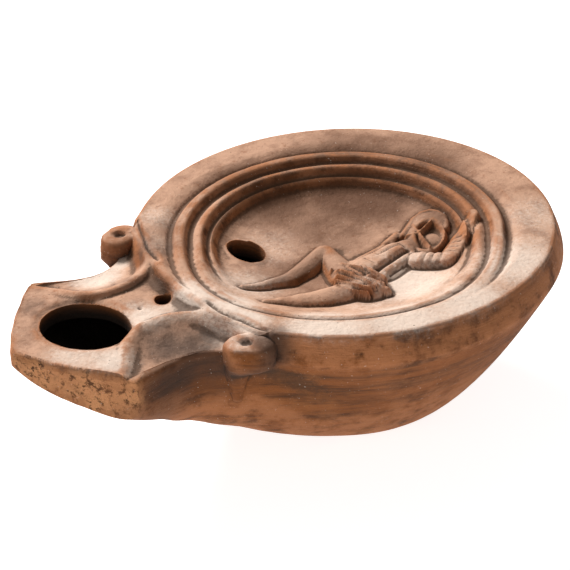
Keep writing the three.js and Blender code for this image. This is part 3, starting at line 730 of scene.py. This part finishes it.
def hole_cutter(name, hole, bottom, seed, steps=96):
    """A closed upright plug whose oval outline wobbles slightly and narrows downwards."""
    centre_x, centre_y, first, second, turned = hole
    angle = np.linspace(0, 2 * np.pi, steps, endpoint=False)
    turn, level = np.meshgrid(angle, np.linspace(bottom, HEIGHT + 4, 14))
    spot = np.stack([3 * np.cos(turn).ravel(), 3 * np.sin(turn).ravel(), 0.2 * level.ravel()], 1)
    size = 1 + 0.035 * lumps(spot, 2.2, seed).reshape(turn.shape) - 0.012 * (HEIGHT - level) / WALL
    along, across = first * np.cos(turn) * size, second * np.sin(turn) * size
    turned = np.radians(turned)
    x = centre_x + along * np.cos(turned) - across * np.sin(turned)
    y = centre_y + along * np.sin(turned) + across * np.cos(turned)
    ends = [[centre_x, centre_y, bottom], [centre_x, centre_y, HEIGHT + 4]]
    return tube(name, np.stack([x, y, level], -1), ends)


def combine(target, tool, operation):
    """Joins the tool to the target or takes it away, then deletes the tool."""
    modifier = target.modifiers.new("combine", "BOOLEAN")
    modifier.operation = operation
    modifier.solver = "MANIFOLD"
    modifier.object = tool
    bpy.context.view_layer.objects.active = target
    bpy.ops.object.modifier_apply(modifier=modifier.name)
    bpy.data.objects.remove(tool, do_unlink=True)


def knob(name, side, seed):
    """A knob and its tail as rings along one path: out from the pit in the top, over the edge, down
    the post, then in along the belly while the radius shrinks."""
    top = HEIGHT - KNOB_DROP
    pit = [(0.05, -0.85), (0.5, -0.82), (0.9, -0.6), (1.25, -0.15), (1.6, -0.02)]
    lip = [(2.1, 0.0), (2.5, -0.08), (2.8, -0.3), (3.0, -0.65), (3.15, -1.1)]
    post = [(3.2, -1.8), (3.25, -2.6), (3.2, -3.4), (3.1, -KNOB_LENGTH)]
    share = np.linspace(0, 1, 26)[1:]
    tail_drop = KNOB_LENGTH + (KNOB_TAIL - KNOB_LENGTH) * share
    radius = np.concatenate([[r for r, _ in pit + lip + post], 3.0 - 2.2 * share**0.8])
    level = top + np.concatenate([[d for _, d in pit + lip + post], -tail_drop])
    wall_x, wall_y = skin_point(*KNOB_FROM_HEART, level, 0.0, False)
    inward = np.concatenate([np.zeros(len(pit + lip + post)), smoothstep(0, 0.35, share)])
    aside = np.clip(1 - radius / 2.4, 0, 1)
    aside[len(pit):] = 0
    centre_x = KNOB_X + 0.5 * aside + (wall_x - 0.66 * radius - KNOB_X) * inward
    centre_y = KNOB_Y + 1.1 * aside + (wall_y - KNOB_Y) * inward * 0.9
    angle = np.linspace(0, 2 * np.pi, 56, endpoint=False)
    spot = np.stack(np.broadcast_arrays(3 * np.cos(angle), 3 * np.sin(angle), level[:, None]), -1)
    rough = 1 + 0.2 * lumps(spot.reshape(-1, 3), 2.6, seed).reshape(spot.shape[:2])
    towards_ear = np.clip(np.cos(angle - np.radians(EAR_TURN)), 0, 1) ** 2
    ear = 1 + EAR_SIZE * towards_ear * smoothstep(0.8, 3.0, radius)[:, None]
    x = side * (centre_x[:, None] + radius[:, None] * rough * ear * np.cos(angle))
    y = centre_y[:, None] + radius[:, None] * rough * ear * np.sin(angle)
    ends = [[side * centre_x[0], centre_y[0], level[0] - 0.02],
            [side * centre_x[-1], centre_y[-1], level[-1] - 0.4]]
    return tube(name, np.stack([x, y, np.broadcast_to(level[:, None], x.shape)], -1), ends)


def front_air(columns=110, rows=26):
    """The air in front of the nozzle as a slab. Its near face is the two front faces, with the
    roughness of torn clay, rounded at the tip and along the top edge."""
    across = np.linspace(-1, 1, columns) * (CORNER_HALF_WIDTH + 5)
    up = np.concatenate([np.linspace(10, 30, rows - 8), np.linspace(30.3, HEIGHT + 2, 8)])
    x, z = np.meshgrid(across, up)
    torn = lumps(np.stack([x.ravel(), 0 * x.ravel(), z.ravel()], 1), 2.6, 41, 4).reshape(x.shape)
    over = np.clip((z - (HEIGHT - NOZZLE_DROP - EDGE_ROUNDING)) / EDGE_ROUNDING, 0, 0.98)
    inset = 0.16 * (1 + torn) + EDGE_ROUNDING * 0.9 * (1 - np.sqrt(1 - over**2))
    reach = front_reach(np.hypot(x, 0.6) - 0.2) - inset / FRONT_LEAN
    near = np.stack([x, -(RIM_RADIUS + reach), z], -1)
    far = np.stack([x, np.full(x.shape, -(RIM_RADIUS + NOZZLE_REACH + 9)), z], -1)
    first = np.arange(x.size).reshape(x.shape)
    second = first + x.size
    border = [np.concatenate([g[0], g[1:, -1], g[-1, -2::-1], g[-2::-1, 0]]) for g in (first, second)]
    return mesh_object("front_air", np.concatenate([near.reshape(-1, 3), far.reshape(-1, 3)]),
                       [quads_of(first), quads_of(second), quads_of(np.stack(border))])


combine(lamp, front_air(), "DIFFERENCE")
combine(lamp, knob("knob_right", 1, 31), "UNION")
combine(lamp, knob("knob_left", -1, 32), "UNION")
combine(lamp, hollow, "DIFFERENCE")
combine(lamp, hole_cutter("filling", FILLING_HOLE, HEIGHT - FLOOR_DROP - WALL - 2, 21), "DIFFERENCE")
combine(lamp, hole_cutter("wick", WICK_HOLE, WICK_HOLE_BOTTOM, 22), "DIFFERENCE")
combine(lamp, hole_cutter("vent", VENT_HOLE, HEIGHT - NOZZLE_DROP - WALL - 2, 23, 40), "DIFFERENCE")
lamp.data.calc_loop_triangles()
print("lamp after cutting:", len(lamp.data.vertices), "points,", len(lamp.data.loop_triangles), "triangles")
lamp.data.shade_smooth()
lamp.data.set_sharp_from_angle(angle=np.radians(55))

# %% [markdown]
# Where the colours lie. On the real lamp dirt sits in every crease, handling has worn the slip off
# the edges, soot has soaked in round the nozzle, and lime from the soil lies on the upper side. Some
# of these marks also paint light and shade: the creases and broad hollows are darkened further as
# painted shade, the soot beside and below the knobs and along the near flank is also painted
# shadow, the lime on the right and front of the top is also painted highlight, the brown on the
# back of the discus and round the figure is deposit and painted shade, and the inside seen through
# the holes is painted nearly black as shade. So we measure creases and edges on the finished net and
# add stains and painted light and shade by place, and keep each of them as a value on the net's
# points. Painting an image would hold the same, but could not be changed.

# %% Creases, edges, stains and painted light and shade on the net
def read(items, name, width, kind=float):
    """One property of all points or edges as a table."""
    values = np.empty(len(items) * width, kind)
    items.foreach_get(name, values)
    return values.reshape(-1, width)


mesh = lamp.data
count = len(mesh.vertices)
place, normal = read(mesh.vertices, "co", 3) / MM, read(mesh.vertices, "normal", 3)
edges = read(mesh.edges, "vertices", 2, int)
neighbours = np.bincount(edges.ravel(), minlength=count)


def spread(values, times):
    """Each point takes the mean of itself and its neighbours, again and again."""
    values = values.reshape(count, -1)
    for _ in range(times):
        total = values.copy()
        for k in range(values.shape[1]):
            total[:, k] += np.bincount(edges[:, 0], values[edges[:, 1], k], count)
            total[:, k] += np.bincount(edges[:, 1], values[edges[:, 0], k], count)
        values = total / (neighbours + 1)[:, None]
    return values.squeeze()


def store(name, values):
    """Keeps one number per point on the net, for the clay's shader."""
    layer = mesh.attributes.new(name, "FLOAT", "POINT")
    layer.data.foreach_set("value", np.clip(values, 0, 1).astype(np.float32))
    print(f"{name:8s} mean {values.mean():.3f}")


def placed_blots(rows, size, seed):
    """Soft blots: rows of x, y, z, radius and strength, with an edge broken up by noise."""
    ragged = 1 + 0.3 * lumps(place, size, seed, 4)
    total = np.zeros(count)
    for x, y, z, radius, strength in rows:
        gap = np.linalg.norm(place - [x, y, z], axis=1) * ragged
        total = np.maximum(total, strength * smoothstep(radius * 1.5, radius * 0.2, gap))
    return total


DEPTH_INSIDE = 1.3
x, y, z = place.T
fine = ((spread(place, 6) - place) * normal).sum(1)
broad = ((spread(place, 40) - place) * normal).sum(1)
reach = -y - RIM_RADIUS
in_front = np.abs(reach - front_reach(np.abs(x))) < 1.6
hole_rim = np.minimum.reduce([beyond_hole(x, y, hole) for hole in (FILLING_HOLE, WICK_HOLE, VENT_HOLE)])
deep = (outside_lamp(x, y, z, 0.0, False) < -DEPTH_INSIDE) & (z < plain_top(x, y) - DEPTH_INSIDE)
under_roof = (ceiling_height(x, y) > z - 0.6) & (z > WALL - 0.4)
at_front = (reach > front_reach(np.abs(x)) - 1.4) & (hole_rim > 0.3)
inside = deep & ((hole_rim < 0.4) | under_roof) & ~at_front

skin = smoothstep(0.62, 0.92, normal[:, 2]) * smoothstep(25.5, 28.5, z)
rim_band = smoothstep(1.2, 0.2, np.abs(z - (SEAM_HEIGHT + 2.2)) - 1.6)
rim_band = rim_band * (np.abs(normal[:, 2]) < 0.75) * (reach < -4)
raw = np.where(in_front & (normal[:, 2] < 0.86) & (z > 12), 1.0, 0.0)
# crease: dirt in the creases, and painted shade that darkens the creases and broad hollows
store("crease", smoothstep(0.015, 0.1, fine) * 0.75 + smoothstep(0.03, 0.38, broad) * 0.7)
store("edge", smoothstep(0.02, 0.1, -fine) * 0.7 + smoothstep(0.1, 0.7, -broad) * 0.5)
store("skin", spread(skin, 2))
store("band", rim_band)
store("raw", spread(raw, 2))
# inner: painted shade, marking the hollow and the deep walls of the holes to be painted nearly black.
store("inner", spread(inside.astype(float), 1))
# Soot round the nozzle; the blots beside and below the knobs and along the near flank are also painted
# shadow.
SOOT_AND_SHADOW = [
    # x, y, z, radius, strength
    (24.4, -31, 31.5, 4.2, 0.95), (24.6, -33.4, 27, 4, 0.95), (20, -38.5, 26.5, 5, 0.95),
    (18.2, -43, 26.5, 4.4, 0.95), (18.2, -47, 27, 3.4, 0.9), (19, -50.5, 28, 2.4, 0.85),
    (12.2, -43.5, 30, 6, 0.8), (14.4, -39.5, 30, 6, 0.8), (15.5, -36, 31, 4, 0.45),
    (-20.5, -34.6, 29, 4.4, 0.8), (-9.5, -47, 31, 2.6, 0.5), (-7.5, -40.5, 31, 3.6, 0.6),
    (-3, -36.8, 32.5, 3.2, 0.4), (-13.5, -32, 33.5, 4.6, 0.55), (-18, -27.5, 33.5, 4.4, 0.45),
    (-11.8, -27.6, 32, 4, 0.4), (-10.6, -57.6, 31, 5, 0.4), (-6.8, -52, 31, 3.6, 0.6),
    (20, -37, 20, 5.5, 0.3), (16.5, -48, 21, 8, 0.5), (4, -37, 32.5, 2.4, 0.25),
    (-16.8, -51.5, 31, 2.4, 0.4),
]
# Lime from the soil; the big blots on the right and front of the top and on the near knob's top are also
# painted highlight.
LIME_AND_HIGHLIGHT = [
    (4, -43.5, 31.5, 5.5, 0.8), (8, -59, 31.5, 6, 0.6), (12.6, -54, 31, 5, 0.8),
    (11, -31.5, 33.5, 6, 0.95), (-14.5, -43, 30, 5, 0.9), (-17.6, -38, 29.5, 4, 0.9),
    (5, -34.5, 33.5, 6, 0.9), (17, -32, 33.5, 6, 0.9), (21.4, -35.4, 33, 2.6, 0.9),
    (28, -22, 33.5, 9, 0.85), (33, -10, 33.5, 9, 0.8), (34.5, 2, 33.5, 9, 0.75),
    (28, 16, 33.5, 10, 0.7), (18, 30, 33.5, 8, 0.4), (-14, -31, 33.5, 5, 0.3), (2, -24, 29, 8, 0.5),
    (18, 2, 29, 10, 0.8), (20, -8, 29, 7, 0.4), (-22, -26, 33.5, 5, 0.4), (-8, -12, 28.6, 8, 0.3),
]
# Brown deposit; on the back of the discus, on the back-left of the top and round the figure these blots are
# also painted shade.
BROWN_AND_SHADE = [
    (-22, 15, 29.5, 12, 0.8), (-10, 24, 29, 11, 0.85), (-25, -6, 30, 9, 0.6), (3, -13, 30, 9, 0.55),
    (-8, 2, 29, 14, 0.6), (7, 12, 30.5, 8, 0.45), (-13, 12, 29.5, 13, 1), (2, 22, 30, 9, 0.8),
    (-20, -2, 30, 9, 0.9), (20, 20, 31, 5, 0.3), (16, -46, 22, 10, 0.6), (-26, 8, 29, 6.5, 0.8),
    (-4, -61, 31.5, 4, 0.35), (36, 6, 24, 8, 0.35), (12, 35, 28, 8, 0.3),
]
BAND_BROWN = [
    (38, -6, 29, 10, 1), (38.6, 4, 29, 10, 1), (35.5, 15, 29, 9, 1), (29, 25, 29, 8, 0.8),
    (-38, 4, 30, 9, 0.6), (-20, 33, 30, 8, 0.5),
]
upward = spread(smoothstep(0.3, 0.8, normal[:, 2]), 3)
store("soot_and_shadow", spread(placed_blots(SOOT_AND_SHADOW, 6.0, 51), 8))
store("lime_and_highlight", spread(placed_blots(LIME_AND_HIGHLIGHT, 5.0, 52) * upward, 8))
store("brown_and_shade", spread(np.maximum(placed_blots(BROWN_AND_SHADE, 7.0, 53), placed_blots(BAND_BROWN, 3.0, 54) * rim_band), 8))

# %% [markdown]
# The clay itself: an orange body that shows where the skin is worn, a paler skin on the upper side,
# then brown deposit with painted shade, lime with painted highlight, dirt with painted shade in the
# creases and soot with painted shadow, laid over one another, and the inside painted nearly black as
# shade. Each layer is a mix whose mask is a value from the net broken up by noise in the object's
# own space. The grain and the brush marks of the wiped surface are only bump, because they are far
# finer than the net.

# %% Fired clay
clay = bpy.data.materials.new("fired_clay")
clay.use_nodes = True
tree = clay.node_tree
shader = tree.nodes["Principled BSDF"]


def wire(source, target):
    """Links an output to an input, or sets the input when the source is a plain number."""
    if isinstance(source, (int, float, tuple)):
        target.default_value = source
    else:
        tree.links.new(source, target)


def fill(node, values):
    """Sets or links a node's inputs by name."""
    for name, value in values.items():
        wire(value, node.inputs[name])


def maths(operation, first, second):
    """One sum on numbers."""
    node = tree.nodes.new("ShaderNodeMath")
    node.operation = operation
    wire(first, node.inputs[0])
    wire(second, node.inputs[1])
    return node.outputs[0]


def times(first, second):
    """The product of two numbers."""
    return maths("MULTIPLY", first, second)


def ramp(value, low, high, start=0.0, end=1.0):
    """Runs from start to end, in an S-curve, while the value goes from low to high."""
    node = tree.nodes.new("ShaderNodeMapRange")
    node.interpolation_type = "SMOOTHSTEP"
    fill(node, {"Value": value, "From Min": low, "From Max": high, "To Min": start, "To Max": end})
    return node.outputs["Result"]


def layer(mask, below, colour):
    """A colour laid over what is below, as strongly as the mask says."""
    node = tree.nodes.new("ShaderNodeMix")
    node.data_type = "RGBA"
    fill(node, {"Factor": mask, "A": below, "B": colour})
    return node.outputs["Result"]


def from_net(name):
    """A value kept on the net's points."""
    node = tree.nodes.new("ShaderNodeAttribute")
    node.attribute_name = name
    return node.outputs["Fac"]


coordinates = tree.nodes.new("ShaderNodeTexCoord").outputs["Object"]


def noise(size_mm, detail=4.0, rough=0.6, stretch=(1, 1, 1), shift=0.0):
    """Noise in object space whose lumps are about the given size; stretch squeezes each axis."""
    node = tree.nodes.new("ShaderNodeTexNoise")
    mapping = tree.nodes.new("ShaderNodeMapping")
    fill(mapping, {"Vector": coordinates, "Scale": stretch, "Location": (shift, shift, shift)})
    fill(node, {"Vector": mapping.outputs["Vector"], "Scale": 1 / (size_mm * MM), "Detail": detail,
                "Roughness": rough})
    return node.outputs["Fac"]


def broken(mask, pattern, ragged=0.8):
    """A mask broken up by a noise pattern: strong places stay, weak ones become spots."""
    raised = times(maths("SUBTRACT", pattern, 0.5), ragged * 2)
    return ramp(maths("ADD", mask, times(raised, ramp(mask, 0.0, 0.35))), 0.05, 0.95)


cloud, blotch, grain = noise(14, 5), noise(4.5, 6, 0.65, shift=0.3), noise(0.7, 4, 0.7, shift=0.7)
wiped = noise(5.0, 6, 0.7, (0.35, 0.35, 3.0), 0.1)
skin_mask, crease_dirt_and_shade_mask, edge_mask = from_net("skin"), from_net("crease"), from_net("edge")
raw_mask, inner_shade_mask = from_net("raw"), from_net("inner")

# Some of these colours also paint light and shade: the dark crease brown is partly painted shade, the soot
# black partly painted shadow, the lime white partly painted highlight, the deposit brown partly painted
# shade, and the near-black for the inside is wholly painted shade.
ORANGE, BURNT, TAWNY = (0.22, 0.071, 0.019, 1), (0.085, 0.032, 0.012, 1), (0.38, 0.145, 0.048, 1)
SKIN, SKIN_DARK, LIME_AND_HIGHLIGHT_WHITE = (0.50, 0.29, 0.19, 1), (0.27, 0.14, 0.085, 1), (0.80, 0.68, 0.58, 1)
DIRT_AND_SHADE, SOOT_AND_SHADOW_BLACK, WORN = (0.065, 0.030, 0.014, 1), (0.045, 0.032, 0.026, 1), (0.40, 0.155, 0.062, 1)
TORN, TORN_PIT, DEPOSIT_AND_SHADE = (0.62, 0.28, 0.12, 1), (0.07, 0.028, 0.012, 1), (0.085, 0.032, 0.013, 1)
PAINTED_SHADE_INSIDE = (0.022, 0.014, 0.010, 1)

side = layer(ramp(wiped, 0.42, 0.66), ORANGE, BURNT)
side = layer(ramp(cloud, 0.5, 0.72, 0, 0.45), side, TAWNY)
side = layer(times(from_net("band"), ramp(blotch, 0.38, 0.6)), side, WORN)
top = layer(ramp(blotch, 0.42, 0.68, 0, 0.75), SKIN, SKIN_DARK)
top = layer(ramp(noise(1.6, 5, 0.7, shift=0.9), 0.56, 0.72, 0, 0.5), top, ORANGE)
torn = layer(ramp(noise(1.3, 6, 0.75, shift=0.5), 0.49, 0.62), TORN, TORN_PIT)
torn = layer(ramp(noise(5.0, 4, 0.6, shift=0.8), 0.5, 0.7, 0, 0.45), torn, BURNT)
colour = layer(broken(skin_mask, blotch, 0.5), side, top)
colour = layer(raw_mask, colour, torn)
# Brown deposit, and painted shade on the back of the discus and round the figure.
colour = layer(times(broken(from_net("brown_and_shade"), cloud, 0.3), 0.85), colour, DEPOSIT_AND_SHADE)
# Lime, and painted highlight on the right and front of the top and on the near knob.
colour = layer(times(broken(from_net("lime_and_highlight"), grain, 0.4), 0.75), colour, LIME_AND_HIGHLIGHT_WHITE)
colour = layer(times(edge_mask, ramp(blotch, 0.35, 0.6, 0, 0.75)), colour, WORN)
# Dirt in the creases, and painted shade darkening the creases and hollows.
colour = layer(times(broken(crease_dirt_and_shade_mask, grain, 0.6), 0.8), colour, DIRT_AND_SHADE)
# Soot, and painted shadow beside the knobs and along the near flank.
colour = layer(times(broken(from_net("soot_and_shadow"), blotch, 0.35), 0.8), colour, SOOT_AND_SHADOW_BLACK)
specks = noise(0.45, 2, 0.5, shift=1.3)
colour = layer(ramp(specks, 0.69, 0.76, 0, 0.7), colour, DIRT_AND_SHADE)
colour = layer(ramp(specks, 0.30, 0.24, 0, 0.35), colour, LIME_AND_HIGHLIGHT_WHITE)
# Painted shade: the inside of the lamp and the deep walls of the holes are painted nearly black.
colour = layer(inner_shade_mask, colour, PAINTED_SHADE_INSIDE)

height = maths("ADD", times(grain, 0.5), times(noise(2.4, 6, 0.65, shift=2.0), 0.9))
height = maths("ADD", height, times(noise(1.2, 5, 0.7, (0.3, 0.3, 3.0), 2.4), ramp(skin_mask, 1, 0, 0, 0.8)))
height = maths("ADD", height, times(noise(1.3, 6, 0.8, shift=3.0), times(raw_mask, 3.4)))
bump = tree.nodes.new("ShaderNodeBump")
fill(bump, {"Strength": 0.75, "Distance": 0.00042, "Height": height})
fill(shader, {"Base Color": colour, "Roughness": 0.8, "Specular IOR Level": 0.15,
              "Normal": bump.outputs["Normal"]})
mesh.materials.clear()
mesh.materials.append(clay)
print("clay shader:", len(tree.nodes), "nodes")

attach(lamp, "root")
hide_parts("lamp_body")

# %% [markdown]
# The studio: a pale sheet that glows a little, so that the lamp casts almost no shadow, a large soft
# key from behind and to the left, and a long lens held at the angle of the photograph.

# %% Floor, lights and camera
FLOOR_SIZE = 3.0
FLOOR_LEVEL = -0.0002
floor_mesh = bpy.data.meshes.new("floor")
corners = [(FLOOR_SIZE * side_x, FLOOR_SIZE * side_y, FLOOR_LEVEL)
           for side_x, side_y in ((-1, -1), (1, -1), (1, 1), (-1, 1))]
floor_mesh.from_pydata(corners, [], [(0, 1, 2, 3)])
floor = bpy.data.objects.new("floor", floor_mesh)
scene.collection.objects.link(floor)
paper = bpy.data.materials.new("pale_paper")
paper.use_nodes = True
fill(paper.node_tree.nodes["Principled BSDF"],
     {"Base Color": (0.6, 0.6, 0.6, 1), "Roughness": 0.9,
      "Emission Color": (1, 1, 1, 1), "Emission Strength": 0.84})
floor_mesh.materials.append(paper)

CAMERA_TURN = 57.107
CAMERA_RISE = 30.07
CAMERA_ROLL = -2.549
CAMERA_CENTRE = np.array([0, 0, 30.0])
CAMERA_DISTANCE = 370.0
CAMERA_AIM = np.array([-14.444, -4.288, 15.0])
CAMERA_FOCAL_PIXELS = 2045.75
IMAGE_PIXELS = 570
SENSOR = 36.0


def aim_at(thing, place, aim, roll=0.0):
    """Stands a camera or light at a place in metres, turns it to its aim and rolls it."""
    turned = (Vector(aim) - Vector(place)).to_track_quat("-Z", "Y").to_matrix().to_4x4()
    thing.matrix_world = Matrix.Translation(place) @ turned @ Matrix.Rotation(roll, 4, "Z")
    scene.collection.objects.link(thing)


def place_camera():
    """The camera stands on a sphere about a point over the lamp's base."""
    turn, rise, roll = np.radians([CAMERA_TURN, CAMERA_RISE, CAMERA_ROLL])
    back = np.array([np.sin(turn) * np.cos(rise), -np.cos(turn) * np.cos(rise), np.sin(rise)])
    place = CAMERA_CENTRE + back * CAMERA_DISTANCE
    data = bpy.data.cameras.new("camera")
    data.sensor_width = SENSOR
    data.lens = CAMERA_FOCAL_PIXELS / IMAGE_PIXELS * SENSOR
    data.clip_start = 0.01
    scene.camera = bpy.data.objects.new("camera", data)
    aim_at(scene.camera, place * MM, CAMERA_AIM * MM, roll)


def soft_light(name, place, aim, size, watts, colour=(1, 1, 1)):
    """A square panel lamp that faces its aim."""
    data = bpy.data.lights.new(name, "AREA")
    data.size, data.energy, data.color = size, watts, colour
    aim_at(bpy.data.objects.new(name, data), place, aim)


place_camera()
soft_light("key", (-0.95, -0.08, 0.72), (0, 0, 0.02), 0.45, 25.0, (1.0, 0.98, 0.96))
soft_light("fill", (0.3, -0.9, 0.35), (0, 0, 0.02), 0.8, 1.6)
world = bpy.data.worlds.new("studio")
world.use_nodes = True
fill(world.node_tree.nodes["Background"], {"Color": (1, 1, 1, 1), "Strength": 0.3})
scene.world = world
scene.view_settings.view_transform = "Standard"
print("camera at", [round(v, 3) for v in scene.camera.location])
